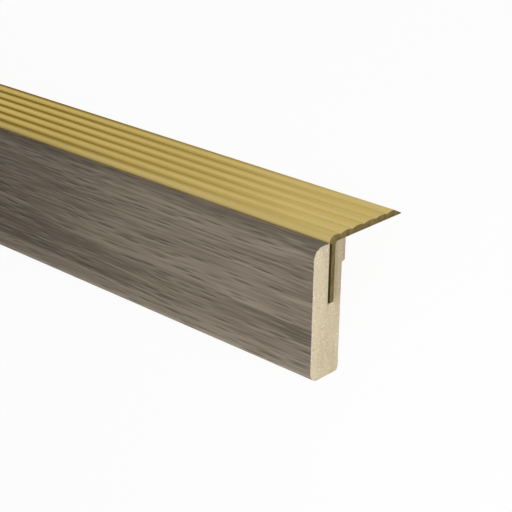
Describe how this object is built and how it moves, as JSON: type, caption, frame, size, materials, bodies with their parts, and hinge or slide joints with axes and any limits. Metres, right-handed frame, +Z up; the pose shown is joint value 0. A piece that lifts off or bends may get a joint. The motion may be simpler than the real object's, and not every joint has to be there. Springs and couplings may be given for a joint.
{
  "type": "stair nosing",
  "caption": "Long stair nosing: a foil-wrapped fibreboard strip for the riser edge, with a ribbed metal cap that laps over the front of the tread.",
  "frame": {"origin": "on the floor, at mid-length, midway between the rounded toe and the cap's feathered edge", "axes": "+X along the length, +Y from the decor side to the cap's feathered edge, +Z up as the nosing lies on a floor"},
  "size_m": [0.9004, 0.054, 0.0306],
  "materials": {
    "gold_aluminium": "satin gold anodised, ribbed lengthwise",
    "raw_fibreboard": "raw medium-density fibreboard, machined",
    "oak_print_foil": "matt grey-brown wood-print foil, lightly embossed"
  },
  "bodies": {
    "root": {"tread_cap": "gold_aluminium", "fibreboard": "raw_fibreboard", "decor_foil": "oak_print_foil"}
  },
  "joints": []
}
